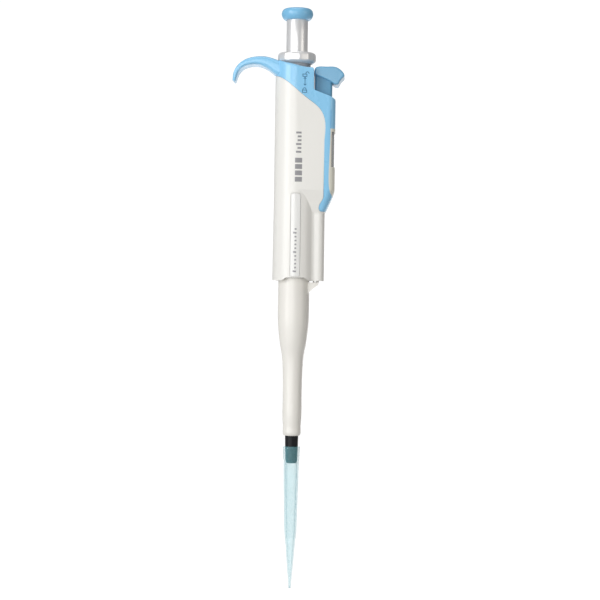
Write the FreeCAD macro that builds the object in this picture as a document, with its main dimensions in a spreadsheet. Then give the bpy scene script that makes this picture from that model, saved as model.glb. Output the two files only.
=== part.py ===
"""Single-channel adjustable pipette with a fitted tip.

+Z runs up the plunger's axis from the tip's orifice, the finger hook points to -X and the display to +X.
All sizes are in millimetres and live in the spreadsheet "sizes".
"""
import FreeCAD, Part
import math
import os
import re
import Sketcher

Vector = FreeCAD.Vector
UP = Vector(0, 0, 1)
ORIGIN = Vector(0, 0, 0)

doc = FreeCAD.newDocument("pipette")

# ---------------------------------------------------------------- driving sizes
SIZES = {
    # outer barrel of the handle
    "barrel_radius": 11.1, "barrel_foot_radius": 11.4, "handle_foot": 161.7, "barrel_step": 209.0,
    "handle_wall": 1.6, "handle_top": 280.0,
    # rear housing for the display, and the narrow spine under it
    "housing_rear": 20.7, "housing_corner": 4.0, "housing_slant": 6.3,
    "spine_rear": 15.7, "spine_half_width": 6.2, "spine_corner": 3.0, "shoulder_foot": 197.0,
    # handle inside
    "cavity_foot": 165.0, "cavity_roof": 260.5, "spigot_foot": 254.0, "seam_gap": 0.15,
    # nozzle shaft, piston and seal
    "shaft_foot": 65.9, "shaft_top": 169.8, "shaft_radius": 6.9, "air_radius": 1.2,
    "cylinder_radius": 4.9, "cylinder_foot": 138.0, "seal_foot": 164.0, "seal_top": 166.5,
    "retainer_top": 168.0, "seat_radius": 6.25, "piston_radius": 4.5, "piston_foot": 155.4,
    "piston_top": 186.0, "running_gap": 0.05,
    # inner frame, springs and stops
    "frame_foot": 170.0, "frame_floor": 172.0, "frame_top": 186.0, "frame_radius": 8.8,
    "frame_bore": 7.2, "spring_coil": 5.6, "spring_wire": 0.9, "collar_foot": 214.5,
    "collar_top": 216.5, "collar_radius": 7.5, "rod_radius": 2.0, "washer_foot": 196.9,
    "washer_top": 197.9, "washer_bore": 6.4, "washer_radius": 8.5, "blowout_coil": 7.9,
    "blowout_wire": 1.1,
    # counter
    "counter_axis": 12.0, "wheel_radius": 6.0, "wheel_height": 4.4, "wheel_pitch": 4.6,
    "wheel_foot": 220.8, "counter_shaft_radius": 0.9, "lower_plate": 217.4, "plate_height": 1.2,
    "upper_plate": 240.2, "gear_foot": 244.0, "gear_height": 3.5, "guide_offset": 7.4,
    "guide_radius": 0.8,
    # dial sleeve, lead screw and volume nut
    "screw_foot": 219.0, "screw_radius": 3.6, "screw_bore": 2.4, "sleeve_floor": 248.0,
    "nut_foot": 234.0, "nut_height": 4.0, "nut_radius": 5.6, "dial_bore": 5.75, "dial_radius": 7.3,
    "dial_top": 277.2, "bush_foot": 260.6, "bush_top": 268.0, "bush_radius": 8.1,
    # adjusting ring
    "ring_radius": 10.1, "ring_foot": 275.3, "ring_rim": 277.0, "ring_web": 279.2,
    "ring_top": 281.0, "ring_travel": 1.6, "ring_flats": 14.0,
    # plunger and button
    "tube_radius": 5.65, "tube_wall": 0.8, "tube_foot": 269.0, "tube_top": 298.6,
    "button_radius": 8.36,
    # ejector
    "notch_front": 9.4, "stem_front": 9.8, "stem_rear": 18.8, "stem_half_width": 5.6,
    "stem_foot": 256.2, "stem_top": 270.5, "bar_inner": 6.85, "bar_outer": 7.85, "link_foot": 213.4,
    "link_top": 216.0, "rod_axis": 11.6, "push_rod_radius": 1.5, "rod_foot": 160.9,
    "ejector_travel": 7.0, "shelf_foot": 173.4, "shelf_top": 175.0, "clip_foot": 195.0,
    "clip_top": 196.5, "ejector_coil": 2.2, "ejector_wire": 0.7,
    # label window and display
    "label_front": -1.8, "label_rear": 3.5, "label_foot": 163.6, "label_top": 207.2,
    "label_depth": 0.7, "bezel_foot": 204.7, "bezel_top": 241.0, "window_foot": 221.0,
    "window_top": 239.4, "window_recess": 0.4,
    # tip
    "tip_top": 74.7, "orifice_radius": 0.3, "orifice_length": 3.0,
}

sheet = doc.addObject("Spreadsheet::Sheet", "sizes")
for row, (alias, number) in enumerate(SIZES.items(), start=1):
    sheet.set(f"A{row}", alias)
    sheet.set(f"B{row}", str(number))
    sheet.setAlias(f"B{row}", alias)
doc.recompute()

NAMES = re.compile(r"\b[a-z]\w+")
parts = []


def bound(text):
    """The expression FreeCAD reads: every alias gets the sheet's name in front."""
    return NAMES.sub(lambda found: "sizes." + found.group(), str(text))


def size(text):
    """The present value of an expression of aliases."""
    value = sheet.evalExpression(bound(text))
    return float(getattr(value, "Value", value))


def keep(item, label):
    """Registers a finished sub-part under the name of its file."""
    item.Label = label
    parts.append(item)
    return item


# ---------------------------------------------------------------- ways of making a piece
def origin_plane(body, role):
    return next(item for item in body.Origin.OriginFeatures if item.Role == role)


def outline_sketch(body, role, outline):
    """A closed outline whose every corner is bound to the sheet."""
    sketch = body.newObject("Sketcher::SketchObject", "outline")
    sketch.AttachmentSupport = [(origin_plane(body, role), "")]
    sketch.MapMode = "FlatFace"
    corners = [Vector(size(across), size(up), 0) for across, up in outline]
    count = len(corners)
    for index, corner in enumerate(corners):
        sketch.addGeometry(Part.LineSegment(corner, corners[(index + 1) % count]), False)
    for index in range(count):
        sketch.addConstraint(Sketcher.Constraint("Coincident", index, 2, (index + 1) % count, 1))
    for index, (across, up) in enumerate(outline):
        for kind, axis, text in (("DistanceX", -2, across), ("DistanceY", -1, up)):
            if abs(size(text)) < 1e-9:
                sketch.addConstraint(Sketcher.Constraint("PointOnObject", index, 1, axis))
            else:
                number = sketch.addConstraint(
                    Sketcher.Constraint(kind, -1, 1, index, 1, size(text)))
                sketch.setExpression(f"Constraints[{number}]", bound(text))
    return sketch


def turned(label, outline, axis_x="0"):
    """A turned piece: an outline of (radius, height) corners revolved about its own vertical axis."""
    body = doc.addObject("PartDesign::Body", label)
    sketch = outline_sketch(body, "XZ_Plane", outline)
    revolution = body.newObject("PartDesign::Revolution", "turning")
    revolution.Profile = sketch
    revolution.ReferenceAxis = (sketch, ["V_Axis"])
    revolution.Angle = 360.0
    body.setExpression(".Placement.Base.x", bound(axis_x))
    return keep(body, label)


def plate(label, outline, foot, height):
    """A flat piece: an outline in plan, padded upwards from its foot."""
    body = doc.addObject("PartDesign::Body", label)
    sketch = outline_sketch(body, "XY_Plane", outline)
    pad = body.newObject("PartDesign::Pad", "thickness")
    pad.Profile = sketch
    pad.setExpression("Length", bound(height))
    body.setExpression(".Placement.Base.z", bound(foot))
    return body


def rod(name, radius, foot, height, axis_x="0", axis_y="0"):
    """An upright Part cylinder bound to the sheet."""
    item = doc.addObject("Part::Cylinder", name)
    item.setExpression("Radius", bound(radius))
    item.setExpression("Height", bound(height))
    item.setExpression(".Placement.Base.x", bound(axis_x))
    item.setExpression(".Placement.Base.y", bound(axis_y))
    item.setExpression(".Placement.Base.z", bound(foot))
    return item


def block(name, low, high):
    """A Part box between two opposite corners, each given as three expressions."""
    item = doc.addObject("Part::Box", name)
    for side, first, last in zip(("Length", "Width", "Height"), low, high):
        item.setExpression(side, bound(f"({last}) - ({first})"))
    for side, first in zip("xyz", low):
        item.setExpression(f".Placement.Base.{side}", bound(first))
    return item


def cut(name, base, tool):
    item = doc.addObject("Part::Cut", name)
    item.Base = base
    item.Tool = tool
    return item


def joined(name, *pieces):
    item = doc.addObject("Part::MultiFuse", name)
    item.Shapes = list(pieces)
    item.Refine = True
    return item


def feature(label, shape):
    """A piece whose shape neither sketches nor primitives can give."""
    item = doc.addObject("Part::Feature", label)
    item.Shape = shape
    return keep(item, label)


def side_prism(corners, half_width=40.0, smooth=False):
    """A prism through the pipette from side to side, from (x, z) corners or a smooth closed curve."""
    points = [Vector(x, -half_width, z) for x, z in corners]
    if smooth:
        curve = Part.BSplineCurve()
        curve.interpolate(points, PeriodicFlag=True)
        wire = Part.Wire(curve.toShape())
    else:
        wire = Part.makePolygon(points + points[:1])
    return Part.Face(wire).extrude(Vector(0, 2 * half_width, 0))


def edge_between(points):
    """One smooth edge through the given points."""
    curve = Part.BSplineCurve()
    curve.interpolate(points)
    return curve.toShape()


def at_side(corners, depth=0.0):
    return [Vector(x, depth, z) for x, z in corners]


def smooth_turning(smooth, closing):
    """Revolves a smooth (radius, height) curve closed by straight sides."""
    edges = [edge_between(at_side(smooth))]
    corners = at_side([smooth[-1]] + closing + [smooth[0]])
    edges += [Part.LineSegment(a, b).toShape() for a, b in zip(corners, corners[1:])]
    face = Part.Face(Part.Wire(edges))
    return face.revolve(ORIGIN, UP, 360)


def coil(radius, wire, foot, top, turns, axis_x=0.0):
    """A compression spring: a round wire swept along a helix, inside the stated height."""
    height = top - foot - wire
    helix = Part.makeHelix(height / turns, height, radius)
    section = Part.Wire(Part.makeCircle(wire / 2, Vector(radius, 0, 0), Vector(0, 1, 0)))
    spring = Part.Wire(helix).makePipeShell([section], True, True)
    spring.translate(Vector(axis_x, 0, foot + wire / 2))
    return spring


# ---------------------------------------------------------------- nozzle shaft, piston and seal
turned("nozzle_shaft", [
    ("air_radius", "shaft_foot"), ("2.5", "shaft_foot"), ("3.2", "67.6"), ("3.4", "74"),
    ("3.52", "80"), ("3.6", "84"), ("3.7", "88"), ("4.0", "113"), ("4.15", "117.2"),
    ("4.5", "122.3"), ("5.6", "128.4"), ("6.3", "134.2"), ("shaft_radius", "143"),
    ("shaft_radius", "shaft_top"), ("seat_radius", "shaft_top"), ("seat_radius", "seal_foot"),
    ("cylinder_radius", "seal_foot"), ("cylinder_radius", "cylinder_foot"),
    ("air_radius", "cylinder_foot - 3"),
])
turned("piston_seal", [
    ("piston_radius + running_gap", "seal_foot"), ("seat_radius", "seal_foot"),
    ("seat_radius", "seal_top"), ("piston_radius + running_gap", "seal_top"),
])
turned("seal_retainer", [
    ("piston_radius + running_gap * 2", "seal_top"), ("seat_radius", "seal_top"),
    ("seat_radius", "retainer_top"), ("piston_radius + running_gap * 2", "retainer_top"),
])
turned("shaft_nut", [
    ("shaft_radius", "cavity_foot"), ("8.7", "cavity_foot"), ("9.2", "cavity_foot + 0.8"),
    ("9.2", "cavity_foot + 4"), ("shaft_radius", "cavity_foot + 4"),
])
turned("piston", [
    ("0", "piston_foot"), ("piston_radius - 0.4", "piston_foot"),
    ("piston_radius", "piston_foot + 0.4"), ("piston_radius", "piston_top - 0.6"),
    ("piston_radius - 0.6", "piston_top"), ("0", "piston_top"),
])
turned("piston_rod", [
    ("0", "piston_top"), ("rod_radius", "piston_top"), ("rod_radius", "tube_foot"), ("0", "tube_foot"),
])
turned("rod_collar", [
    ("rod_radius", "collar_foot"), ("collar_radius", "collar_foot"),
    ("collar_radius", "collar_top - 0.5"), ("collar_radius - 0.5", "collar_top"),
    ("rod_radius", "collar_top"),
])
feature("main_spring", coil(size("spring_coil"), size("spring_wire"), size("frame_floor"),
                            size("collar_foot"), 12))

# ---------------------------------------------------------------- inner frame and stop
frame_tube = turned("frame_tube", [
    ("piston_radius + 0.3", "frame_foot"), ("frame_radius", "frame_foot"),
    ("frame_radius", "frame_top"), ("frame_bore", "frame_top"), ("frame_bore", "frame_floor"),
    ("piston_radius + 0.3", "frame_floor"),
])
parts.remove(frame_tube)
shelf = block("shelf", ("frame_radius - 1", "-4.2", "shelf_foot"), ("14", "4.2", "shelf_top"))
shelf_hole = rod("shelf_hole", "push_rod_radius + 0.1", "shelf_foot - 1", "4", "rod_axis")
bore = rod("frame_bore_tool", "frame_bore", "frame_floor", "20")
keep(cut("inner_frame", joined("frame_and_shelf", frame_tube, cut("drilled_shelf", shelf, shelf_hole)),
         bore), "inner_frame")
feature("blowout_spring", coil(size("blowout_coil"), size("blowout_wire"), size("frame_top"),
                               size("washer_foot"), 4))
turned("stop_washer", [
    ("washer_bore", "washer_foot"), ("washer_radius", "washer_foot"),
    ("washer_radius", "washer_top"), ("washer_bore", "washer_top"),
])

# ---------------------------------------------------------------- counter frame
PLATE = [("-7", "-6"), ("-4.5", "-8.2"), ("5", "-8.2"), ("15.5", "-7.3"), ("18.4", "-5.2"), ("18.4", "5.2"),
         ("16.4", "6.6"), ("6", "6.6"), ("6", "8.2"), ("-4.5", "8.2"), ("-7", "6")]


def counter_plate(name, foot):
    """One of the two plates that carry the counter shaft and let the lead screw pass."""
    blank = plate(name + "_blank", PLATE, foot, "plate_height")
    screw_hole = rod(name + "_screw_hole", "screw_radius + 0.3", f"{foot} - 1", "4")
    shaft_hole = rod(name + "_shaft_hole", "counter_shaft_radius + running_gap", f"{foot} - 1", "4",
                     "counter_axis")
    return cut(name, cut(name + "_bored", blank, screw_hole), shaft_hole)


def post(name, x, y):
    """A post that ties the two plates together."""
    return rod(name, "0.9", "lower_plate", "upper_plate - lower_plate + plate_height", x, y)


keep(joined("counter_frame", counter_plate("lower_plate_piece", "lower_plate"),
            counter_plate("upper_plate_piece", "upper_plate"), post("rear_post", "15.2", "-6.3"),
            post("front_post", "5", "-7.2")), "counter_frame")
rails = [rod(f"guide_rod_{side}", "guide_radius", "lower_plate + plate_height",
             "upper_plate - lower_plate - plate_height", "0", place)
         for side, place in (("left", "-guide_offset"), ("right", "guide_offset"))]
guides = doc.addObject("Part::Compound", "guide_rods")
guides.Links = rails
keep(guides, "guide_rods")

# ---------------------------------------------------------------- counter wheels
TEETH = 16
PITCH_RADIUS = size("counter_axis") / 2


def spur_gear(bore_radius, turn, axis_x):
    """A straight-toothed wheel with tapered teeth, one of them at the stated angle."""
    root, tip_circle = PITCH_RADIUS - 0.85, PITCH_RADIUS + 0.6
    root_half, tip_half = 0.55, 0.24
    corners = []
    for tooth in range(TEETH):
        middle = turn + 2 * math.pi * tooth / TEETH
        for radius, offset in ((root, -root_half), (tip_circle, -tip_half),
                               (tip_circle, tip_half), (root, root_half)):
            angle = middle + offset / radius
            corners.append(Vector(radius * math.cos(angle), radius * math.sin(angle), 0))
    blank = Part.Face(Part.makePolygon(corners + corners[:1])).extrude(Vector(0, 0, size("gear_height")))
    gear = blank.cut(Part.makeCylinder(bore_radius, size("gear_height")))
    gear.translate(Vector(axis_x, 0, size("gear_foot")))
    return gear


def number_wheel(label, place, bore_radius):
    """A drum for ten figures, counted upwards from the lowest place, with a small step at each rim."""
    foot = f"wheel_foot + wheel_pitch * {place}"
    top = f"{foot} + wheel_height"
    return turned(label, [
        (bore_radius, foot), ("wheel_radius - 0.3", foot), ("wheel_radius", f"{foot} + 0.3"),
        ("wheel_radius", f"{top} - 0.3"), ("wheel_radius - 0.3", top), (bore_radius, top),
    ], "counter_axis")


feature("dial_gear", spur_gear(size("screw_radius"), 0.0, 0.0))
feature("counter_gear", spur_gear(size("counter_shaft_radius"), math.pi + math.pi / TEETH,
                                  size("counter_axis")))
number_wheel("fixed_zero_drum", 0, "counter_shaft_radius + running_gap")
number_wheel("tens_wheel", 1, "counter_shaft_radius")
number_wheel("hundreds_wheel", 2, "counter_shaft_radius + running_gap")
number_wheel("thousands_wheel", 3, "counter_shaft_radius + running_gap")
keep(rod("counter_shaft", "counter_shaft_radius", "lower_plate", "gear_foot + gear_height - lower_plate",
         "counter_axis"), "counter_shaft")

# ---------------------------------------------------------------- dial sleeve, lead screw, volume nut
turned("dial_sleeve", [
    ("screw_bore", "sleeve_floor"), ("dial_radius", "sleeve_floor"), ("dial_radius", "256.5"),
    ("7.9", "256.5"), ("7.9", "258.3"), ("dial_radius", "258.3"), ("dial_radius", "dial_top"),
    ("dial_bore", "dial_top"), ("dial_bore", "sleeve_floor + 2"), ("screw_bore", "sleeve_floor + 2"),
])
turned("lead_screw", [
    ("screw_bore", "screw_foot"), ("screw_radius - 0.3", "screw_foot"),
    ("screw_radius", "screw_foot + 0.3"), ("screw_radius", "sleeve_floor"),
    ("screw_bore", "sleeve_floor"),
])
nut_body = turned("nut_ring", [
    ("screw_radius + running_gap", "nut_foot"), ("nut_radius", "nut_foot"),
    ("nut_radius", "nut_foot + nut_height"), ("screw_radius + running_gap", "nut_foot + nut_height"),
])
parts.remove(nut_body)
nut_ears = block("nut_ears", ("-1.8", "-8.9", "nut_foot"), ("1.8", "8.9", "nut_foot + 1.6"))
ear_bores = [rod(f"ear_bore_{side}", "guide_radius + running_gap", "nut_foot - 1", "6", "0", place)
             for side, place in (("left", "-guide_offset"), ("right", "guide_offset"))]
nut_bore = rod("nut_bore", "screw_radius + running_gap", "nut_foot - 1", "8")
nut_holes = joined("nut_holes", *ear_bores, nut_bore)
keep(cut("volume_nut", joined("nut_blank", nut_body, nut_ears), nut_holes), "volume_nut")
turned("dial_bush", [
    ("dial_radius + running_gap", "bush_foot"), ("bush_radius", "bush_foot"),
    ("bush_radius", "bush_top"), ("dial_radius + running_gap", "bush_top"),
])

# ---------------------------------------------------------------- adjusting ring
ring = smooth_turning([(7.9, 275.3), (8.7, 275.8), (9.5, 276.4), (10.0, 276.9)],
                      [(size("ring_radius"), 277.1), (size("ring_radius"), 280.3), (9.4, size("ring_top")),
                       (5.85, size("ring_top")), (5.85, size("ring_web")), (7.4, size("ring_web")),
                       (7.4, size("ring_foot"))])
FLATS = int(size("ring_flats"))
flat_reach = size("ring_radius") * math.cos(math.pi / FLATS)
facets = [Vector(flat_reach / math.cos(math.pi / FLATS) * math.cos(2 * math.pi * (side + 0.5) / FLATS),
                 flat_reach / math.cos(math.pi / FLATS) * math.sin(2 * math.pi * (side + 0.5) / FLATS),
                 size("ring_foot") - 1) for side in range(FLATS)]
facet_prism = Part.Face(Part.makePolygon(facets + facets[:1])).extrude(Vector(0, 0, 8))
feature("adjust_ring", ring.common(facet_prism))

# ---------------------------------------------------------------- plunger tube and button
turned("plunger_tube", [
    ("rod_radius", "tube_foot - 2"), ("tube_radius", "tube_foot - 2"), ("tube_radius", "tube_top"),
    ("tube_radius - tube_wall", "tube_top"), ("tube_radius - tube_wall", "tube_foot"),
    ("rod_radius", "tube_foot"),
])
button = smooth_turning([(6.3, 298.5), (7.0, 298.9), (7.8, 299.9), (8.3, 301.1), (8.3, 302.2),
                         (7.9, 303.3), (7.2, 304.1), (6.3, 304.45)],
                        [(5.9, 304.45), (5.9, 303.5), (0, 303.5), (0, 299.6), (5.66, 299.6), (5.66, 298.4),
                         (6.1, 298.4)])
feature("thumb_button", button)
feature("button_disc", smooth_turning([(5.8, 304.45), (4.5, 304.6), (2.5, 304.75), (0.8, 304.8)],
                                      [(0, 304.8), (0, 303.5), (5.8, 303.5)]))

# ---------------------------------------------------------------- outer form of the handle
def rear_section(inset, rear, half_width, corner, slant, height):
    """Plan outline behind the barrel's axis: slanting sides, rounded corners and a flat rear."""
    rear, half_width, corner = rear - inset, half_width - inset, max(corner - inset, 1.0)
    middle_x = rear - corner
    middle_y = (half_width - corner) / math.cos(slant) - middle_x * math.tan(slant)
    front = (half_width * math.sin(slant), half_width * math.cos(slant))
    tangent = (middle_x + corner * math.sin(slant), middle_y + corner * math.cos(slant))
    half_turn = (math.pi / 2 - slant) / 2
    crown = (middle_x + corner * math.cos(half_turn), middle_y + corner * math.sin(half_turn))
    right = [front, tangent, crown, (rear, middle_y)]
    left = [(x, -y) for x, y in reversed(right)]
    corners = [Vector(x, y, height) for x, y in right + left]
    return Part.Wire([
        Part.LineSegment(corners[0], corners[1]).toShape(),
        Part.Arc(*corners[1:4]).toShape(),
        Part.LineSegment(corners[3], corners[4]).toShape(),
        Part.Arc(*corners[4:7]).toShape(),
        Part.LineSegment(corners[6], corners[7]).toShape(),
        Part.LineSegment(corners[7], corners[0]).toShape(),
    ])


def section_between(inset, share, height):
    """Section behind the barrel: the spine's at share 0, the housing's at share 1, in between on the shoulder."""
    rear = size("spine_rear") * (1 - share) + size("housing_rear") * share
    half_width = size("spine_half_width") * (1 - share) + size("barrel_radius") * share
    corner = size("spine_corner") * (1 - share) + size("housing_corner") * share
    slant = math.radians(size("housing_slant")) * share
    return rear_section(inset, rear, half_width, corner, slant, height)


def handle_form(inset, foot, top):
    """The whole handle as one solid, drawn in by the inset all round."""
    step, shoulder = size("barrel_step"), size("shoulder_foot")
    lower = Part.makeCone(size("barrel_foot_radius") - inset, size("barrel_radius") - inset,
                          step - size("handle_foot"), Vector(0, 0, size("handle_foot")))
    upper = Part.makeCylinder(size("barrel_radius") - inset, size("handle_top") - step, Vector(0, 0, step))
    spine = Part.Face(section_between(inset, 0.0, size("handle_foot")))
    spine = spine.extrude(Vector(0, 0, step - size("handle_foot")))
    stages = [index / 5 for index in range(6)]
    shoulder_piece = Part.makeLoft([section_between(inset, stage * (1.3 - 0.3 * stage), shoulder + (step - shoulder) * stage)
                                    for stage in stages], True, False)
    housing = Part.Face(section_between(inset, 1.0, step)).extrude(Vector(0, 0, size("handle_top") - step))
    form = lower.multiFuse([upper, spine, shoulder_piece, housing]).removeSplitter()
    slab = Part.makeBox(80, 80, top - foot, Vector(-40, -40, foot))
    return form.common(slab)


def edges_that(shape, test):
    return [edge for edge in shape.Edges if test(edge)]


def upright_crease(edge):
    """The upright edges where the spine leaves the barrel, below the shoulder."""
    box = edge.BoundBox
    return (box.ZMin < size("handle_foot") + 1 and box.ZLength > 20 and 8 < box.Center.x < 11
            and box.XLength < 1.0)


outer_form = handle_form(0.0, size("handle_foot"), size("handle_top"))
creases = edges_that(outer_form, upright_crease)
outer_form = outer_form.makeFillet(2.5, creases)

# The top of the cover falls from the hook to the ejector's notch.
top_profile = [(-16, 278.6), (-10.3, 277.2), (-8.3, 277.0), (-6.1, 276.0), (-1.5, 274.5), (5, 273.0), (9.4, 272.8)]
roof_wire = Part.Wire([edge_between(at_side(top_profile, -40))]
                      + [Part.LineSegment(a, b).toShape() for a, b in
                         zip(at_side([(9.4, 272.8), (30, 272.8), (30, 100), (-16, 100)], -40),
                             at_side([(30, 272.8), (30, 100), (-16, 100), (-16, 279)], -40))])
under_roof = Part.Face(roof_wire).extrude(Vector(0, 80, 0))
notch_profile = [(size("notch_front"), 290), (size("notch_front"), 262.0), (9.9, 260.9), (11.1, 260.4),
                 (18.7, 257.6), (21.5, 255.8), (30, 255.8), (30, 290)]
notch = side_prism(notch_profile)
housing_form = outer_form.common(under_roof).cut(notch)


def roof_edge(edge):
    """The rim round the top of the cover, ahead of the notch."""
    box = edge.BoundBox
    return box.ZMin > 272.5 and box.XMax < size("notch_front") + 0.1 and box.ZMax < 279.5


housing_form = housing_form.makeFillet(1.3, edges_that(housing_form, roof_edge))

# The finger hook is a curved strip that thickens and widens into the cover. Each station gives its top point,
# its underside point and its half width.
HOOK_STATIONS = [
    ((-33.6, 266.4), (-32.1, 265.5), 5.4), ((-33.3, 269.4), (-31.0, 268.5), 6.1),
    ((-31.2, 273.9), (-28.7, 272.2), 6.5), ((-27.0, 277.3), (-25.2, 273.9), 6.7),
    ((-21.5, 278.9), (-20.9, 274.3), 6.8), ((-15.6, 278.9), (-16.4, 273.0), 6.9),
    ((-12.4, 278.1), (-13.8, 271.4), 7.0), ((-9.6, 277.1), (-11.6, 269.6), 7.1),
    ((-6.6, 276.0), (-8.8, 268.6), 7.2), ((-3.0, 274.4), (-5.0, 267.4), 7.2),
]
HOOK_SQUARENESS = 0.5
OUTLINE_POINTS = 20


def hook_section(top, under, half_width):
    """A rounded oblong in the slanting plane of one station."""
    top, under = Vector(top[0], 0, top[1]), Vector(under[0], 0, under[1])
    middle, half = (top + under) / 2, (top - under) / 2
    points = []
    for index in range(OUTLINE_POINTS):
        angle = 2 * math.pi * index / OUTLINE_POINTS
        up, side = math.cos(angle), math.sin(angle)
        up = math.copysign(abs(up) ** HOOK_SQUARENESS, up)
        side = math.copysign(abs(side) ** HOOK_SQUARENESS, side)
        points.append(middle + half * up + Vector(0, half_width * side, 0))
    curve = Part.BSplineCurve()
    curve.interpolate(points, PeriodicFlag=True)
    return Part.Wire(curve.toShape())


hook_form = Part.makeLoft([hook_section(*station) for station in HOOK_STATIONS], True, False)
handle_outside = housing_form.fuse(hook_form)

# ---------------------------------------------------------------- inside of the handle
roof = size("cavity_roof")
floor_drop = [(7.9, 300), (7.9, 258.8), (11.1, 258.8), (18.7, 256.0), (30, 251.8), (30, 300)]
cavity = handle_form(size("handle_wall"), size("cavity_foot"), roof).cut(side_prism(floor_drop))
spine_pocket = Part.Face(section_between(1.3, 0.0, size("cavity_foot"))).extrude(Vector(0, 0, 45))
cavity = cavity.fuse(spine_pocket)
neck_bore = Part.makeCylinder(size("dial_radius") + 0.3, 40, Vector(0, 0, roof - 1))
bush_seat = Part.makeCylinder(size("bush_radius"), size("bush_top - cavity_roof"), Vector(0, 0, roof))
ring_recess = smooth_turning([(7.7, 273.3), (8.5, 273.8), (9.5, 274.5), (10.4, 275.2)],
                             [(10.5, 290), (0, 290), (0, 273.3)])
shaft_way = Part.makeCylinder(size("shaft_radius") + 0.15, 10, Vector(0, 0, 160))
rod_way = Part.makeCylinder(size("push_rod_radius") + 0.4, 10, Vector(size("rod_axis"), 0, 160))
stem_way = Part.makeBox(9.6, 11.8, 14, Vector(9.4, -5.9, 250))
bar_way = Part.makeBox(4.6, 1.75, 10.5, Vector(9.6, 6.4, 205.5))
foot_notch = side_prism([(-6.2, 161.6), (-3.8, 163.2), (5.6, 163.2), (8.0, 161.6)])
foot_recess = handle_form(size("handle_wall"), size("handle_foot"), size("cavity_foot") - 1.6)
shell = handle_outside
for hollow in (cavity, neck_bore, bush_seat, ring_recess, shaft_way, rod_way, stem_way, bar_way, foot_notch,
               foot_recess):
    shell = shell.cut(hollow)

# ---------------------------------------------------------------- label window
def barrel_skin(depth):
    """The outer skin of the barrel, as thick as the stated depth."""
    height = size("barrel_step - handle_foot")
    outer = Part.makeCone(size("barrel_foot_radius"), size("barrel_radius"), height,
                          Vector(0, 0, size("handle_foot")))
    outer = outer.fuse(Part.makeCylinder(size("barrel_radius"), 10, Vector(0, 0, size("barrel_step"))))
    inner = Part.makeCone(size("barrel_foot_radius") - depth, size("barrel_radius") - depth, height,
                          Vector(0, 0, size("handle_foot")))
    inner = inner.fuse(Part.makeCylinder(size("barrel_radius") - depth, 10, Vector(0, 0, size("barrel_step"))))
    return outer.cut(inner)


def label_prism(shrink):
    """The upright rounded rectangle of the label, seen from the side."""
    low, high = size("label_front") + shrink, size("label_rear") - shrink
    foot, top = size("label_foot") + shrink, size("label_top") - shrink
    prism = Part.makeBox(high - low, 12, top - foot, Vector(low, -18, foot))
    return prism.makeFillet(1.2 - shrink, edges_that(prism, lambda edge: edge.BoundBox.YLength > 11))


label_seat = barrel_skin(size("label_depth")).common(label_prism(0.0))
feature("label_window", barrel_skin(size("label_depth")).common(label_prism(0.2)))
shell = shell.cut(label_seat)

# ---------------------------------------------------------------- blue cover against white shell
def cover_region(grow):
    """The part of the handle that belongs to the cover: the top, the hook and the rear saddle."""
    seam = [(-13.6, 269.9), (-12.6, 269.5), (-9.7, 268.5), (-6.0, 266.5), (2.2, 259.8), (6.9, 256.1),
            (11.2, 252.8), (13.6, 250.0), (15.1, 246.5), (15.7, 241.3), (15.3, 235.0)]
    seam = [(x, z - grow) for x, z in seam]
    tail = [(15.2, 205.5), (14.3, 203.3), (12.9, 200.6), (12.9, 199.0), (13.8, 197.9)]
    tail = [(x - grow, z - grow / 2) for x, z in tail]
    edges = [edge_between(at_side(seam, -40)),
             Part.LineSegment(*at_side([seam[-1], tail[0]], -40)).toShape(),
             edge_between(at_side(tail, -40))]
    close = at_side([tail[-1], (30, tail[-1][1]), (30, 300), (-50, 300), (-50, 240), (-14, 240), seam[0]], -40)
    edges += [Part.LineSegment(a, b).toShape() for a, b in zip(close, close[1:])]
    return Part.Face(Part.Wire(edges)).extrude(Vector(0, 80, 0))


gap = size("seam_gap")
bezel_profile = [(18.3, 241.0), (18.1, 230.0), (17.7, 217.0), (17.9, 211.0), (18.9, 207.0), (21.4, 204.7)]
bezel_edges = [edge_between(at_side(bezel_profile, -40))]
bezel_close = at_side([(21.4, 204.7), (30, 204.7), (30, 241.0), (18.3, 241.0)], -40)
bezel_edges += [Part.LineSegment(a, b).toShape() for a, b in zip(bezel_close, bezel_close[1:])]
bezel_region = Part.Face(Part.Wire(bezel_edges)).extrude(Vector(0, 80, 0))
spigot = handle_form(size("handle_wall"), size("spigot_foot"), size("handle_top"))
spigot_region = handle_form(size("handle_wall") - 0.05, size("spigot_foot"), size("handle_top"))
cover = shell.common(cover_region(0.0)).fuse(shell.common(spigot)).cut(bezel_region).removeSplitter()
for side in (-1, 1):
    groove = Part.makeBox(0.3, 4.0, 9.5, Vector(18.35, side * 9.6 - 2.0, size("bezel_top")))
    skin = handle_form(0.0, 235.0, 255.0).cut(handle_form(0.35, 235.0, 255.0))
    cover = cover.cut(groove.common(skin))
feature("hook_cover", cover)
feature("handle_shell", shell.cut(cover_region(gap)).cut(spigot_region).cut(bezel_region))

# ---------------------------------------------------------------- display bezel and window
window_region = side_prism([(19.0, size("window_foot")), (30, size("window_foot")),
                            (30, size("window_top")), (19.0, size("window_top"))])
lens_gap = 0.1
lens_region = side_prism([(19.0 + lens_gap, size("window_foot") + lens_gap), (30, size("window_foot") + lens_gap),
                          (30, size("window_top") - lens_gap), (19.0 + lens_gap, size("window_top") - lens_gap)])
bezel_skin = handle_form(0.0, 200.0, 245.0).cut(handle_form(size("handle_wall"), 190.0, 250.0))
feature("display_bezel", bezel_skin.common(bezel_region).cut(window_region))
lens_skin = handle_form(size("window_recess"), 200.0, 245.0).cut(handle_form(size("handle_wall"), 190.0, 250.0))
feature("display_window", lens_skin.common(lens_region))

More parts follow.
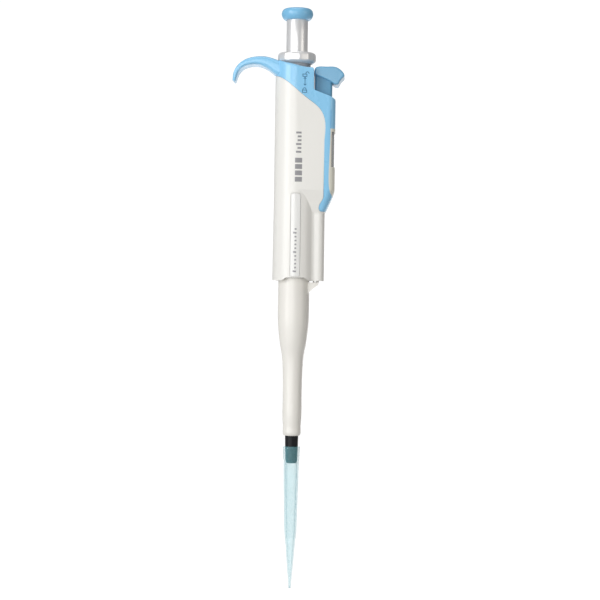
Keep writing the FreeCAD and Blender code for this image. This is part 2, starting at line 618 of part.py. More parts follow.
# ---------------------------------------------------------------- ejector
cap_profile = [(9.65, 271.8), (10.2, 272.9), (11.5, 273.4), (16.0, 273.45), (20.5, 273.3), (22.1, 272.6),
               (24.0, 271.1), (25.1, 269.4), (25.2, 268.8), (23.8, 267.1), (22.7, 265.4), (21.9, 264.2),
               (21.0, 264.0), (18.9, 265.1), (15.0, 267.1), (12.4, 268.2), (10.8, 268.9), (9.75, 269.9)]
cap = side_prism(cap_profile, 7.6, smooth=True)
cap = cap.makeFillet(0.8, edges_that(cap, lambda edge: edge.BoundBox.YLength < 0.01))
stem_body = block("stem_body", ("stem_front", "-stem_half_width", "stem_foot"),
                  ("stem_rear", "stem_half_width", "stem_top"))
doc.recompute()
stem_edges = edges_that(stem_body.Shape, lambda edge: edge.BoundBox.ZLength > 8)
rounded_stem = stem_body.Shape.makeFillet(1.2, stem_edges)
feature("ejector_button", cap.cut(rounded_stem))
feature("ejector_stem", rounded_stem)
bar_lug = block("bar_lug", ("10.4", "stem_half_width", "stem_foot"), ("13.6", "bar_outer", "stem_foot + 1.2"))
side_bar = block("side_bar", ("10.4", "bar_inner", "link_foot"), ("13.6", "bar_outer", "stem_foot + 1.2"))
cross_link = block("cross_link", ("10.0", "-1.8", "link_foot"), ("13.6", "bar_outer", "link_top"))
keep(joined("ejector_bar", bar_lug, side_bar, cross_link), "ejector_bar")
keep(rod("ejector_rod", "push_rod_radius", "rod_foot", "link_foot - rod_foot", "rod_axis"), "ejector_rod")
turned("spring_clip", [
    ("push_rod_radius", "clip_foot"), ("2.5", "clip_foot"), ("2.5", "clip_top"), ("push_rod_radius", "clip_top"),
], "rod_axis")
feature("ejector_spring", coil(size("ejector_coil"), size("ejector_wire"), size("shelf_top"),
                               size("clip_foot"), 9, size("rod_axis")))
sleeve_outside = [(4.15, 80.4), (4.55, 80.9), (4.75, 83.5), (4.9, 87.5), (5.05, 100.0), (5.2, 113.2),
                  (5.37, 117.2), (5.8, 122.3), (6.9, 128.4), (7.63, 134.2), (8.05, 139.0), (8.2, 143.5),
                  (8.2, 152.0), (8.2, 163.1)]
sleeve_inside = [(7.25, 163.1), (7.2, 143.0), (6.7, 134.2), (6.0, 128.4), (4.9, 122.3), (4.45, 117.2), (4.3, 113.2),
                 (4.0, 87.5), (3.8, 80.4)]
sleeve = smooth_turning(sleeve_outside, sleeve_inside)
arm = side_prism([(7.3, 154.6), (7.9, 155.1), (9.5, 157.1), (12.6, 159.4), (13.3, 160.9), (7.3, 160.9)], 3.4)
arm = arm.cut(Part.makeCylinder(7.7, 20, Vector(0, 0, 150)))
feature("ejector_sleeve", sleeve.fuse(arm).removeSplitter())

# ---------------------------------------------------------------- disposable tip
turned("pipette_tip", [
    ("orifice_radius", "0"), ("0.55", "0"), ("0.78", "3"), ("1.42", "10.1"), ("2.42", "22.2"),
    ("3.24", "31.1"), ("3.73", "51.3"), ("3.78", "51.6"), ("4.08", "67.4"), ("4.25", "67.6"),
    ("4.53", "tip_top"), ("3.47", "tip_top"), ("3.26", "67.6"), ("2.98", "51.3"), ("2.5", "31.1"),
    ("1.75", "22.2"), ("0.85", "10.1"), ("orifice_radius", "orifice_length"),
])

# ---------------------------------------------------------------- checks and export
def export_parts():
    """Recomputes, refuses anything that failed, and writes one file for each sub-part."""
    doc.recompute()
    failed = [item.Name for item in doc.Objects if "Invalid" in item.State or "Error" in item.State]
    if failed:
        raise SystemExit(f"failed objects: {failed}")
    for item in parts:
        if item.Shape.isNull() or not item.Shape.isValid() or not item.Shape.Solids:
            raise SystemExit(f"bad shape: {item.Label}")
    os.makedirs("parts", exist_ok=True)
    for item in parts:
        item.Shape.exportStep(f"parts/{item.Label}.step")
        print(f"{item.Label:18s} {len(item.Shape.Solids)} solid(s) {item.Shape.Volume:10.1f} mm3")


export_parts()
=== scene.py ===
"""Looks of a hand-held adjustable pipette with a fitted tip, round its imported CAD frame. Metres, +Z up."""
import math

import bpy
import mathutils
import numpy as np
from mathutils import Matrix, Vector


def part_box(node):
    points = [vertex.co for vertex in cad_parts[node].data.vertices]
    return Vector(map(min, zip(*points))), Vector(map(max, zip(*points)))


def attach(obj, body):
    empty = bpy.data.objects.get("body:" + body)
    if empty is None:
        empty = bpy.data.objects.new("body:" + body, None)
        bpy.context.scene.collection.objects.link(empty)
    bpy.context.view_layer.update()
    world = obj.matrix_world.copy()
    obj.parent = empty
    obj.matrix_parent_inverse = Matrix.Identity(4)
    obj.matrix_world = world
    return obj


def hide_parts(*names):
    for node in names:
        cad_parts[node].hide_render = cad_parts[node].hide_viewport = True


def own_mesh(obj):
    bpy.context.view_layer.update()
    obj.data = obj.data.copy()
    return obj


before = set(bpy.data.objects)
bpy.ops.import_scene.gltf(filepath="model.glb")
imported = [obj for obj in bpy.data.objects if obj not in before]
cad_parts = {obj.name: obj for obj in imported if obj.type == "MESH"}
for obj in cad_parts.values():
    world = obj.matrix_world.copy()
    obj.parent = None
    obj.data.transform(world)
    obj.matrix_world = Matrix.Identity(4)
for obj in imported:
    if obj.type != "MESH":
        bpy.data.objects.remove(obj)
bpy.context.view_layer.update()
scene = bpy.context.scene
MM = 0.001


# ---- Studio. The pipette hangs upright in front of a seamless pale sweep that glows behind it. Large soft boxes
# light it: a broad one from the left, one from the front, a warm weaker one from the right, one from above and
# one low behind that rims the clear tip.
class Socket:
    """An output in a shader tree. Arithmetic on it adds Math nodes, so a mask reads as an ordinary formula."""

    def __init__(self, finish, output):
        self.finish = finish
        self.output = output

    def math(self, operation, other=None, reflected=False):
        first, second = (other, self) if reflected else (self, other)
        inputs = {0: first} if second is None else {0: first, 1: second}
        return self.finish.node("Math", {"operation": operation}, inputs)

    def __add__(self, other):
        return self.math("ADD", other)

    def __sub__(self, other):
        return self.math("SUBTRACT", other)

    def __rsub__(self, other):
        return self.math("SUBTRACT", other, True)

    def __mul__(self, other):
        return self.math("MULTIPLY", other)

    def __truediv__(self, other):
        return self.math("DIVIDE", other)

    def __pow__(self, other):
        return self.math("POWER", other)

    def __lt__(self, other):
        return self.math("LESS_THAN", other)

    def __gt__(self, other):
        return self.math("GREATER_THAN", other)

    def __abs__(self):
        return self.math("ABSOLUTE")

    __radd__ = __add__
    __rmul__ = __mul__


class Finish:
    """One material: a Principled shader, its constants, and the nodes that feed it."""

    def __init__(self, name, constants):
        self.material = bpy.data.materials.new(name)
        self.material.use_nodes = True
        self.tree = self.material.node_tree
        self.shader = self.tree.nodes["Principled BSDF"]
        for socket, value in constants.items():
            self.shader.inputs[socket].default_value = value

    def node(self, kind, settings, inputs, output=0):
        """Adds a node: its settings first, then the values or links of its sockets."""
        made = self.tree.nodes.new("ShaderNode" + kind)
        for name, value in settings.items():
            if name == "stops":
                for place, (position, colour) in enumerate(value):
                    stop = made.color_ramp.elements[place] if place < 2 else made.color_ramp.elements.new(position)
                    stop.position = position
                    stop.color = colour
            else:
                setattr(made, name, value)
        for name, value in inputs.items():
            if isinstance(value, Socket):
                self.tree.links.new(value.output, made.inputs[name])
            else:
                made.inputs[name].default_value = value
        return Socket(self, made.outputs[output])

    def place(self):
        """Object coordinates, in metres."""
        return self.node("TexCoord", {}, {}, "Object")

    def noise(self, scale, detail=3.0, stretch=(1, 1, 1)):
        """Noise of the stated number of waves to the metre, stretched along the axes."""
        spot = self.node("Mapping", {}, {"Vector": self.place(), "Scale": stretch})
        return self.node("TexNoise", {}, {"Vector": spot, "Scale": scale, "Detail": detail}, "Fac")

    def axes(self):
        """The object coordinates one by one, in millimetres."""
        spot = self.place()
        return [self.node("SeparateXYZ", {}, {"Vector": spot}, axis) * 1000.0 for axis in "XYZ"]

    def blend(self, mask, first, second):
        """A colour that goes from first to second as the mask goes from 0 to 1."""
        return self.node("Mix", {"data_type": "RGBA"}, {0: mask, 6: first, 7: second}, 2)

    def feed(self, **links):
        for name, value in links.items():
            self.tree.links.new(value.output, self.shader.inputs[name.replace("_", " ")])
        return self

    def relief(self, height, distance):
        """Turns a height from 0 to 1 into a bump of the stated depth in metres."""
        normal = self.node("Bump", {}, {"Height": height, "Strength": 1.0, "Distance": distance}, "Normal")
        return self.feed(Normal=normal)


def soft_box(name, place, aim, width, height, power, colour=(1.0, 1.0, 1.0)):
    """A rectangular area light that faces the aim."""
    data = bpy.data.lights.new(name, "AREA")
    data.shape = "RECTANGLE"
    data.size, data.size_y, data.energy = width, height, power
    data.color = colour
    light = bpy.data.objects.new(name, data)
    scene.collection.objects.link(light)
    light.location = place
    direction = np.array(aim) - np.array(place)
    light.rotation_euler = mathutils.Vector(direction).to_track_quat("-Z", "Y").to_euler()


soft_box("key_box", (-0.75, -0.75, 0.34), (0, 0, 0.15), 0.55, 0.9, 7.4)
soft_box("front_box", (-0.2, -1.1, 0.1), (0, 0, 0.12), 0.5, 0.8, 4.6)
soft_box("fill_box", (0.95, -0.55, 0.22), (0, 0, 0.16), 0.4, 0.9, 2.0, (1.0, 0.94, 0.85))
soft_box("top_box", (0.0, -0.1, 1.1), (0, 0, 0.2), 0.7, 0.7, 2.5)
soft_box("low_box", (0.1, 0.5, -0.02), (0, 0, 0.1), 0.6, 0.3, 0.6)

world = bpy.data.worlds.new("studio")
scene.world = world
world.use_nodes = True
world.node_tree.nodes["Background"].inputs["Color"].default_value = (1.0, 1.0, 1.0, 1.0)
world.node_tree.nodes["Background"].inputs["Strength"].default_value = 0.20
scene.view_settings.view_transform = "Standard"

across = np.linspace(-3.0, 3.0, 2)
FLOOR, BEND_START, BEND_RADIUS = -0.05, 0.9, 0.6
bend = np.linspace(0.1, math.pi / 2, 14)
along = np.concatenate([[-2.0, BEND_START], BEND_START + BEND_RADIUS * np.sin(bend), [BEND_START + BEND_RADIUS]])
rise = np.concatenate([[FLOOR, FLOOR], FLOOR + BEND_RADIUS - BEND_RADIUS * np.cos(bend), [3.0]])
sweep_points = np.stack([np.repeat(across[None, :], len(along), 0), np.repeat(along[:, None], 2, 1),
                         np.repeat(rise[:, None], 2, 1)], axis=-1)


def grid_mesh(name, points, ring=False, loop=False):
    """A mesh on a grid of points [row, column]. Ring joins the last column to the first, loop the last row to
    the first. A row whose points all coincide becomes one pole vertex with a fan of triangles."""
    rows, columns = points.shape[:2]
    next_row = np.roll(np.arange(rows), -1)
    next_column = np.roll(np.arange(columns), -1)
    row, column = np.meshgrid(np.arange(rows if loop else rows - 1),
                              np.arange(columns if ring else columns - 1), indexing="ij")
    index = np.arange(rows * columns).reshape(rows, columns)
    spread = np.ptp(points, axis=1).max(axis=1)
    poles = np.flatnonzero(spread < 1e-9)
    index[poles] = index[poles, :1]
    quads = np.stack([index[row, column], index[row, next_column[column]],
                      index[next_row[row], next_column[column]], index[next_row[row], column]], axis=-1)
    quads = quads.reshape(-1, 4)
    upper = quads[:, 0] == quads[:, 1]
    lower = quads[:, 2] == quads[:, 3]
    faces = quads[~upper & ~lower].tolist() + quads[upper][:, 1:].tolist() + quads[lower][:, :3].tolist()
    used, packed = np.unique(np.concatenate([np.ravel(face) for face in faces]), return_inverse=True)
    sizes = [len(face) for face in faces]
    faces = [part.tolist() for part in np.split(packed, np.cumsum(sizes)[:-1])]
    mesh = bpy.data.meshes.new(name)
    mesh.from_pydata(points.reshape(-1, 3)[used].tolist(), [], faces)
    mesh.polygons.foreach_set("use_smooth", [True] * len(faces))
    mesh.validate()
    return mesh


def show(name, mesh):
    item = bpy.data.objects.new(name, mesh)
    scene.collection.objects.link(item)
    return item


paper = Finish("paper_sweep", {"Roughness": 0.95, "Specular IOR Level": 0.0, "Emission Strength": 0.9})
paper_tone = paper.noise(6.0)
paper.feed(Base_Color=paper.blend(paper_tone, (0.30, 0.30, 0.30, 1), (0.32, 0.32, 0.32, 1)))
x, y, z = paper.axes()
# Painted glow: the sweep emits full white in a patch behind the pipette, fading to dark grey emission beyond it at
# the sides, the front and the top.
wide = paper.node("MapRange", {}, {"Value": abs(x), "From Min": 480.0, "From Max": 800.0})
near = paper.node("MapRange", {}, {"Value": y, "From Min": 200.0, "From Max": 50.0})
tall = paper.node("MapRange", {}, {"Value": z, "From Min": 640.0, "From Max": 900.0})
beyond = 1.0 - (1.0 - wide) * (1.0 - near) * (1.0 - tall)
paper.feed(Emission_Color=paper.blend(beyond, (1, 1, 1, 1), (0.16, 0.16, 0.16, 1)))
sweep = show("paper_sweep", grid_mesh("paper_sweep", sweep_points))
sweep.data.materials.append(paper.material)

# ---- Camera. Level with the pipette's middle, a little round towards the display side, and rolled slightly.
DISTANCE = 0.850
AIM_ACROSS, AIM_HEIGHT = 3.4, 151.6
AZIMUTH = math.radians(2.0)
ROLL = math.radians(-0.8)
AIM = mathutils.Vector((AIM_ACROSS * MM * math.cos(AZIMUTH), AIM_ACROSS * MM * math.sin(AZIMUTH),
                        AIM_HEIGHT * MM))
camera_data = bpy.data.cameras.new("camera")
camera_data.lens = 97.0
camera_data.sensor_width = 36.0
camera_data.clip_start = 0.05
camera = bpy.data.objects.new("camera", camera_data)
scene.collection.objects.link(camera)
away = mathutils.Vector((math.sin(AZIMUTH), -math.cos(AZIMUTH), 0.0))
camera.location = AIM + away * DISTANCE
facing = (-away).to_track_quat("-Z", "Y").to_matrix()
camera.rotation_euler = (facing @ mathutils.Matrix.Rotation(-ROLL, 3, "Z")).to_euler()
scene.camera = camera


# ---- White shell. One ABS moulding of barrel, spine and housing with a satin skin: slight flow marks, fine spark
# grain, soft handling smears. A plain graduated mark is pad-printed in grey on its side.
def moulded(name, colour, shade, roughness=0.32, grain=0.000012, coat=0.0):
    """Moulded plastic: flow marks shift the colour, handling smears the gloss, fine grain gives the bump."""
    finish = Finish(name, {"Coat Roughness": 0.12, "IOR": 1.5, "Coat Weight": coat})
    flow = finish.noise(38.0, 2.0, (1, 1, 0.35))
    smear = finish.noise(120.0, 4.0, (1, 1, 0.5))
    fine = finish.noise(2600.0, 2.0)
    finish.colour = finish.blend(flow, (*colour, 1), (*shade, 1))
    finish.feed(Base_Color=finish.colour, Roughness=roughness - 0.07 + smear * 0.14)
    return finish.relief(fine, grain)


def give(finish, *nodes):
    """Gives CAD nodes their finish."""
    for node in nodes:
        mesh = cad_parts[node].data
        mesh.materials.clear()
        mesh.materials.append(finish.material)


def within(value, low, high):
    """A mask that is 1 where the value lies between low and high."""
    return (value > low) * (value < high)


def printed(finish, mask, ink):
    """Prints the mask in ink over the finish's own colour."""
    finish.colour = finish.blend(mask, finish.colour, (*ink, 1))
    return finish.feed(Base_Color=finish.colour)


white_shell = moulded("white_shell", (0.86, 0.85, 0.815), (0.835, 0.825, 0.785))
x, y, z = white_shell.axes()
BOLD_BAR, LONG_BAR, SHORT_BAR = (2.5, 0.2, 3.9), (1.0, 0.6, 3.4), (1.0, 1.4, 3.4)
BARS = [(213.0, BOLD_BAR), (216.3, BOLD_BAR), (219.6, BOLD_BAR), (222.9, BOLD_BAR), (228.0, LONG_BAR),
        (230.0, SHORT_BAR), (232.0, LONG_BAR), (234.0, SHORT_BAR), (236.0, SHORT_BAR), (238.0, LONG_BAR)]
bars = 0.0
for foot, (tall, left, right) in BARS:
    bars = within(z, foot, foot + tall) * within(x, left, right) + bars
printed(white_shell, bars * (y < 0.0) * 0.85, (0.20, 0.20, 0.22))
give(white_shell, "handle_shell")

# ---- Blue cover. A gloss ABS moulding with the finger hook, snapped over the housing. Three signs in darker blue
# show the volume lock: an open padlock, a double arrow and a closed padlock.
SKY, SKY_SHADE, SIGN_BLUE = (0.29, 0.63, 0.91), (0.26, 0.59, 0.87), (0.03, 0.14, 0.28)
blue_cover = moulded("blue_cover", SKY, SKY_SHADE, 0.28, coat=0.25)
x, y, z = blue_cover.axes()


def padlock(x, z, centre, middle, swing):
    """A padlock's sign: an outlined body under a half ring, which is swung aside when it is open."""
    body = within(x, centre - 1.25, centre + 1.25) * within(z, middle - 1.4, middle + 0.2)
    keyhole = within(x, centre - 0.85, centre + 0.85) * within(z, middle - 1.0, middle - 0.2)
    across, up = x - (centre + swing), z - (middle + 0.35)
    reach = (across * across + up * up) ** 0.5
    return body - keyhole + within(reach, 0.62, 1.02) * (z > middle + 0.2)


ARROW_ACROSS, ARROW_HEIGHT, ARROW_REACH = 4.8, 265.2, 2.3
across, reach = abs(x - ARROW_ACROSS), abs(z - ARROW_HEIGHT)
arrow_shaft = (across < 0.22) * (reach < 1.6)
arrow_heads = (across < ARROW_REACH - reach) * within(reach, 1.4, ARROW_REACH)
arrows = arrow_shaft + arrow_heads
signs = padlock(x, z, 4.7, 268.9, 1.3) + arrows + padlock(x, z, 4.6, 260.6, 0.0)
printed(blue_cover, signs * (y < 0.0) * 0.9, SIGN_BLUE)
give(blue_cover, "hook_cover")

# ---- Label. A clear strip over a white insert in the barrel's recess, with a printed scale of even strokes.
label = moulded("label", (0.86, 0.86, 0.84), (0.83, 0.83, 0.81), 0.24, 0.000004, 0.4)
x, y, z = label.axes()
edge = 1.0 - within(x, -1.55, 3.25) * within(z, 163.4, 206.8)
SCALE_FOOT, SCALE_TOP, SHORT_PITCH, LONG_PITCH = 166.0, 189.0, 2.0, 10.0
short_place = label.node("Math", {"operation": "FRACT"}, {0: z / SHORT_PITCH})
short_stroke = (short_place < 0.42) * within(z, SCALE_FOOT, SCALE_TOP)
long_place = label.node("Math", {"operation": "FRACT"}, {0: (z - SCALE_FOOT) / LONG_PITCH})
long_stroke = (long_place < 0.1) * within(z, SCALE_FOOT - 0.1, SCALE_TOP)
scale_marks = short_stroke * within(x, 0.5, 1.5) + long_stroke * within(x, -0.3, 0.5)
printed(label, scale_marks * 0.8, (0.22, 0.22, 0.24))
# The strip is also greyer round its rim, outside the scale's window.
printed(label, edge * 0.6, (0.62, 0.62, 0.60))
give(label, "label_window")

# ---- Display. A cream frame with a fine satin grain round a smoked acrylic window, snapped into the cover.
cream = moulded("cream_bezel", (0.80, 0.79, 0.70), (0.76, 0.75, 0.66), 0.4, 0.00002)
give(cream, "display_bezel")
smoked = moulded("smoked_window", (0.018, 0.018, 0.022), (0.026, 0.026, 0.03), 0.14, 0.000001, 1.0)
grazing = smoked.node("LayerWeight", {}, {"Blend": 0.4}, "Facing")
smoked.feed(Alpha=0.34 + smoked.noise(30.0) * 0.04 + grazing * 0.6)
give(smoked, "display_window")

# ---- Inner frame. Glass-filled nylon mouldings inside the handle: the frame, and the nut that holds the shaft.
# The dial and the piston run in white acetal bearings.
nylon = moulded("inner_nylon", (0.40, 0.41, 0.43), (0.35, 0.36, 0.38), 0.5, 0.00003)
give(nylon, "inner_frame", "shaft_nut")
acetal = moulded("bearing_acetal", (0.90, 0.90, 0.87), (0.86, 0.86, 0.83), 0.38, 0.000008)
give(acetal, "dial_bush", "seal_retainer")


# ---- Steel and brass works. Pressed and drawn stainless parts, spring wire, and the turned brass of the dial's
# screw and gears, each with the marks of its making.
def metal(name, colour, shade, roughness, stretch, depth=0.000004):
    """Bare metal: streaks along the way it was drawn or turned, in colour, gloss and relief."""
    finish = Finish(name, {"Metallic": 1.0, "IOR": 2.5})
    streak = finish.noise(1400.0, 2.0, stretch)
    cloud = finish.noise(90.0, 3.0)
    finish.colour = finish.blend(streak, (*colour, 1), (*shade, 1))
    finish.feed(Base_Color=finish.colour, Roughness=roughness - 0.06 + streak * 0.06 + cloud * 0.06)
    return finish.relief(streak, depth)


DRAWN, TURNED = (1, 1, 0.02), (0.02, 0.02, 1)
give(metal("pressed_steel", (0.72, 0.73, 0.74), (0.62, 0.63, 0.65), 0.30, DRAWN),
     "counter_frame", "stop_washer", "ejector_bar")
give(metal("ground_rod", (0.76, 0.77, 0.78), (0.70, 0.71, 0.72), 0.16, DRAWN, 0.000001),
     "guide_rods", "piston_rod", "rod_collar", "piston", "counter_shaft")
give(metal("satin_rod", (0.80, 0.80, 0.79), (0.74, 0.74, 0.73), 0.42, DRAWN), "ejector_rod")
spring_wire = metal("spring_wire", (0.60, 0.61, 0.63), (0.50, 0.51, 0.53), 0.24, DRAWN)
give(spring_wire, "blowout_spring", "spring_clip")
give(metal("turned_brass", (0.80, 0.60, 0.27), (0.72, 0.52, 0.22), 0.26, TURNED),
     "lead_screw", "dial_gear", "counter_gear", "volume_nut")

# ---- Number drums. White acetal wheels behind the window, pad-printed with the figures 0 to 9 round each rim.
# One drum is fixed. Each figure is made of up to seven strokes.
drum_white = moulded("drum_white", (0.88, 0.88, 0.86), (0.84, 0.84, 0.82), 0.45, 0.000004)
x, y, z = drum_white.axes()
DRUM_AXIS, FIGURES = 12.0, 10.0
SEGMENTS = {"top": (0.0, 1.6, 1.1, 0.25), "middle": (0.0, 0.0, 1.1, 0.25), "foot": (0.0, -1.6, 1.1, 0.25),
            "upper_left": (-0.9, 0.8, 0.25, 0.85), "upper_right": (0.9, 0.8, 0.25, 0.85),
            "lower_left": (-0.9, -0.8, 0.25, 0.85), "lower_right": (0.9, -0.8, 0.25, 0.85)}
LEFT_OUT = {"top": (1, 4), "middle": (0, 1, 7), "foot": (1, 4, 7), "upper_left": (1, 2, 3, 7),
            "upper_right": (5, 6), "lower_left": (1, 3, 4, 5, 7, 9), "lower_right": (2,)}
turn = drum_white.node("Math", {"operation": "ARCTAN2"}, {0: y, 1: x - DRUM_AXIS})
turn = turn * (FIGURES / (2 * math.pi))
place = drum_white.node("Math", {"operation": "ROUND"}, {0: turn})
figure = drum_white.node("Math", {"operation": "FLOORED_MODULO"}, {0: place, 1: FIGURES})
rim = ((x - DRUM_AXIS) * (x - DRUM_AXIS) + y * y) ** 0.5
figures = 0.0
for drum in ("fixed_zero_drum", "tens_wheel", "hundreds_wheel", "thousands_wheel"):
    low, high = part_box(drum)
    middle, radius = (low[2] + high[2]) / 2 / MM, (high[1] - low[1]) / 2 / MM
    along = (turn - place) * (2 * math.pi * radius / FIGURES)
    for segment, (across, up, half_width, half_height) in SEGMENTS.items():
        without = 0.0
        for number in LEFT_OUT[segment]:
            without = (abs(figure - number) < 0.5) + without
        bar = (abs(along - across) < half_width) * (abs(z - (middle + up)) < half_height)
        figures = bar * (rim > radius - 0.15) * (1.0 - without) + figures
printed(drum_white, figures * 0.95, (0.03, 0.03, 0.035))
give(drum_white, "fixed_zero_drum", "tens_wheel", "hundreds_wheel", "thousands_wheel")

# ---- Nozzle shaft and piston seal. The shaft is turned from black fluoropolymer, with fine lathe rings on its
# cone; the seal is greased nitrile rubber.
black_shaft = Finish("black_shaft", {"IOR": 1.45, "Specular IOR Level": 0.22})
rings = black_shaft.noise(1500.0, 2.0, TURNED)
wear = black_shaft.noise(160.0, 4.0)
black_shaft.colour = black_shaft.blend(rings, (0.009, 0.010, 0.012, 1), (0.016, 0.017, 0.02, 1))
black_shaft.feed(Base_Color=black_shaft.colour, Roughness=0.3 + wear * 0.12).relief(rings, 0.000004)
give(black_shaft, "nozzle_shaft")
give(moulded("seal_rubber", (0.03, 0.03, 0.032), (0.045, 0.045, 0.048), 0.55, 0.00001), "piston_seal")

# ---- Dial sleeve. A grey nylon neck between the cover and the adjusting ring, keyed to the lead screw.
neck = moulded("neck_nylon", (0.36, 0.37, 0.39), (0.31, 0.32, 0.34), 0.38, 0.000012)
give(neck, "dial_sleeve")


# ---- Adjusting ring. Turned and polished metal with fourteen milled flats. The fingers turn it to set the volume
# and press it down to lock the volume.
RING_FLATS, RING_REACH = 14, 0.992


def flowing(points, steps):
    """Points along a Catmull-Rom curve through the given ones: for share t between the points b and c, with
    neighbours a and d, half of (2b + (c-a)t + (2a-5b+4c-d)t^2 + (3b-a-3c+d)t^3)."""
    points = np.array(points, float)
    padded = np.vstack([2 * points[0] - points[1], points, 2 * points[-1] - points[-2]])
    a, b, c, d = padded[:-3, None], padded[1:-2, None], padded[2:-1, None], padded[3:, None]
    t = np.linspace(0, 1, steps, endpoint=False)[None, :, None]
    curve = 0.5 * (2 * b + (c - a) * t + (2 * a - 5 * b + 4 * c - d) * t ** 2
                   + (3 * b - a - 3 * c + d) * t ** 3)
    return np.vstack([curve.reshape(-1, points.shape[1]), points[-1:]])


def lathe(profile, columns=96, shape=None):
    """Points of a turned body: (r cos u, r sin u, z) for each profile point (r, z), which are in millimetres and
    run so that the body lies on the left. The shape scales r by the angle u and z."""
    profile = np.array(profile, float)
    turn = np.linspace(0, 2 * math.pi, columns, endpoint=False)[None, :]
    radius, height = profile[:, :1], profile[:, 1:]
    if shape is not None:
        radius = radius * shape(turn, height)
    return MM * np.stack([radius * np.cos(turn), radius * np.sin(turn), height + 0 * turn], axis=-1)


def piece(name, points, finish, body, slot, *replaced, loop=False):
    """A new turned piece that rides on its body and stands for its CAD nodes."""
    item = show(name, grid_mesh(name, points, ring=True, loop=loop))
    item.data.materials.append(finish.material)
    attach(item, body)
    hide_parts(*replaced)
    return item


def milled(turn, height):
    """Flats of a regular polygon of n sides, which fade out at the rims: the lesser of the turned corner's reach
    and cos(pi/n) / cos(u - nearest flat's middle)."""
    pitch = 2 * math.pi / RING_FLATS
    offset = np.mod(turn, pitch) - pitch / 2
    flat = math.cos(pitch / 2) / np.cos(offset)
    share = np.clip(np.minimum(height - 276.4, 281.0 - height) / 0.7, 0, 1)
    return np.minimum(flat, RING_REACH) * share + RING_REACH * (1 - share) * np.ones_like(turn)


def smoothed(name, colour, shade, roughness, stretch):
    """Bright metal with a satin polish: a faint grain, soft reflections and fingerprints in the gloss."""
    finish = metal(name, colour, shade, roughness, stretch, 0.0000015)
    finish.shader.inputs["Metallic"].default_value = 0.34
    return finish


ring_metal = smoothed("ring_metal", (0.93, 0.93, 0.93), (0.85, 0.85, 0.86), 0.3, TURNED)
outer = [(7.95, 275.35), (8.7, 275.8), (9.5, 276.35), (9.9, 276.8), (10.06, 277.2), (10.1, 277.8),
         (10.1, 279.4), (10.08, 279.9), (9.95, 280.35), (9.7, 280.7), (9.4, 280.9)]
ring_profile = ([(7.4, 275.4), (7.6, 275.3)] + flowing(outer, 3).tolist()
                + [(9.2, 281.0), (6.1, 281.0), (5.9, 280.9), (5.87, 280.7), (5.87, 279.25), (7.4, 279.25)])
piece("ring_milled", lathe(ring_profile, 140, milled), ring_metal, "ring", "ring_metal", "adjust_ring",
      loop=True)

# ---- Plunger tube. A drawn stainless tube that slides through the ring, polished along its length.
tube_steel = smoothed("tube_steel", (0.92, 0.92, 0.92), (0.84, 0.84, 0.85), 0.3, DRAWN)
low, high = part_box("plunger_tube")
foot, top = low[2] / MM, high[2] / MM
tube_profile = [(4.95, foot), (5.55, foot), (5.65, foot + 0.1), (5.65, top - 0.2), (5.6, top - 0.06),
                (5.5, top), (5.1, top), (4.95, top - 0.1)]
piece("tube_drawn", lathe(tube_profile), tube_steel, "plunger", "polished_steel", "plunger_tube", loop=True)

# ---- Thumb button. A rounded blue cap pressed onto the tube, with a shallow disc snapped into its top.
thumb_blue = moulded("thumb_blue", (0.23, 0.54, 0.80), (0.20, 0.50, 0.76), 0.3, coat=0.2)
cap = [(6.2, 298.45), (6.7, 298.6), (7.25, 299.1), (7.85, 299.95), (8.2, 300.8), (8.34, 301.6),
       (8.28, 302.4), (8.0, 303.2), (7.5, 303.9), (6.9, 304.3), (6.2, 304.48)]
cap_profile = ([(5.67, 298.4)] + flowing(cap, 5).tolist()
               + [(5.95, 304.42), (5.9, 304.2), (5.85, 303.5), (5.67, 303.5)])
piece("button_cap", lathe(cap_profile), thumb_blue, "plunger", "thumb_blue", "thumb_button", loop=True)
thumb_disc = moulded("thumb_disc", (0.28, 0.59, 0.82), (0.25, 0.55, 0.78), 0.34, coat=0.1)
give(thumb_disc, "button_disc")


# ---- Return springs. Cold-wound stainless compression springs, one under the plunger's collar and one on the
# ejector's rod.
def coil(radius, wire, foot, top, turns, axis_x=0.0):
    """A round wire on a helix, closed at both ends: with w the wire's radius, u the turn and v the angle round
    the wire, (x + (r + w cos v) cos u, (r + w cos v) sin u, rise(u) - w sin v)."""
    u = np.linspace(0, 2 * math.pi * turns, int(turns * 40) + 1)[:, None]
    v = np.linspace(0, 2 * math.pi, 10, endpoint=False)[None, :]
    swell = np.concatenate([[0.0], np.ones(len(u)), [0.0]])[:, None] * wire / 2
    u = np.vstack([u[:1], u, u[-1:]])
    rise = foot + wire / 2 + (top - foot - wire) * u / u[-1]
    reach = radius + swell * np.cos(v)
    return MM * np.stack([axis_x + reach * np.cos(u), reach * np.sin(u), rise - swell * np.sin(v)], axis=-1)


for name, body, joint, stroke, turns, sizes in (
        ("main_coil", "plunger", "plunger_press", 16.5, 12, (5.6, 0.9, 172.0, 214.5, 0.0)),
        ("ejector_coil", "ejector", "ejector_press", 7.0, 9, (2.2, 0.7, 175.0, 195.0, 11.6))):
    radius, wire, foot, top, axis_x = sizes
    spring = piece(name, coil(radius, wire, foot, top, turns, axis_x), spring_wire, body, "spring_steel",
                   name.replace("coil", "spring"))
    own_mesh(spring)
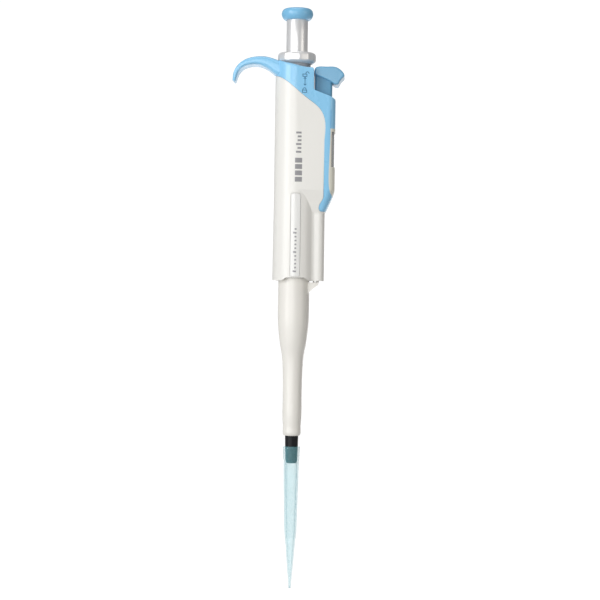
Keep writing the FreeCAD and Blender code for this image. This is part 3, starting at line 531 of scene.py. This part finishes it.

# ---- Ejector. A blue button on a flat stem, whose blue is darkened with painted shade, presses the bar, the rod
# and the sleeve down against a spring. The button and stem are ABS, and the sleeve is an ivory polypropylene
# moulding.
button_blue = moulded("ejector_blue", (0.17, 0.42, 0.63), (0.15, 0.385, 0.59), 0.3, coat=0.2)
give(button_blue, "ejector_button")
# Painted shade: the stem's darker blue stands for the shadow it lies in, set back under the cover and the button.
stem_blue = moulded("stem_blue", (0.12, 0.33, 0.50), (0.10, 0.29, 0.45), 0.42)
give(stem_blue, "ejector_stem")
ivory = moulded("sleeve_ivory", (0.86, 0.84, 0.79), (0.83, 0.81, 0.76), 0.34, 0.000008, 0.1)
give(ivory, "ejector_sleeve")

# ---- Disposable tip. Thin polypropylene, tinted pale cyan, injection moulded; its collar is pushed onto the
# shaft and carries fine rings. The wall lets light through face on and gathers colour at its edges.
tip_clear = Finish("tip_clear", {"IOR": 1.49, "Coat Weight": 0.5, "Coat Roughness": 0.08})
facing = tip_clear.node("LayerWeight", {}, {"Blend": 0.4}, "Facing")
haze = tip_clear.noise(60.0, 2.0, (1, 1, 0.3))
tip_clear.colour = tip_clear.blend(facing, (0.36, 0.80, 0.88, 1), (0.06, 0.52, 0.64, 1))
tip_clear.feed(Base_Color=tip_clear.colour, Roughness=0.14 + haze * 0.06,
               Alpha=0.14 + haze * 0.03 + facing * facing * 0.6)
outside = [(0.55, 0.0), (0.78, 3.0), (1.42, 10.1), (2.42, 22.2), (3.24, 31.1), (3.5, 41.0), (3.73, 51.0),
           (3.75, 51.2), (3.80, 51.5), (3.83, 52.5), (3.95, 60.0), (4.07, 67.2), (4.1, 67.4), (4.24, 67.6),
           (4.28, 67.9)]
COLLAR_RADIUS, COLLAR_FOOT, BEAD_DEPTH = 4.28, 67.9, 0.09
beads = [(COLLAR_RADIUS + 0.04 * (height - COLLAR_FOOT) + (BEAD_DEPTH if step % 2 else 0.0), height)
         for step, height in enumerate(np.linspace(68.2, 73.8, 15))]
inside = [(3.46, 74.6), (3.25, 67.6), (2.98, 51.3), (2.5, 31.1), (1.75, 22.2), (0.85, 10.1), (0.3, 3.0),
          (0.3, 0.0)]
tip_profile = outside + beads + [(4.5, 74.2), (4.5, 74.55), (4.4, 74.68), (3.6, 74.68)] + inside
piece("tip_moulded", lathe(tip_profile, 72), tip_clear, "tip", "tip_clear", "pipette_tip", loop=True)
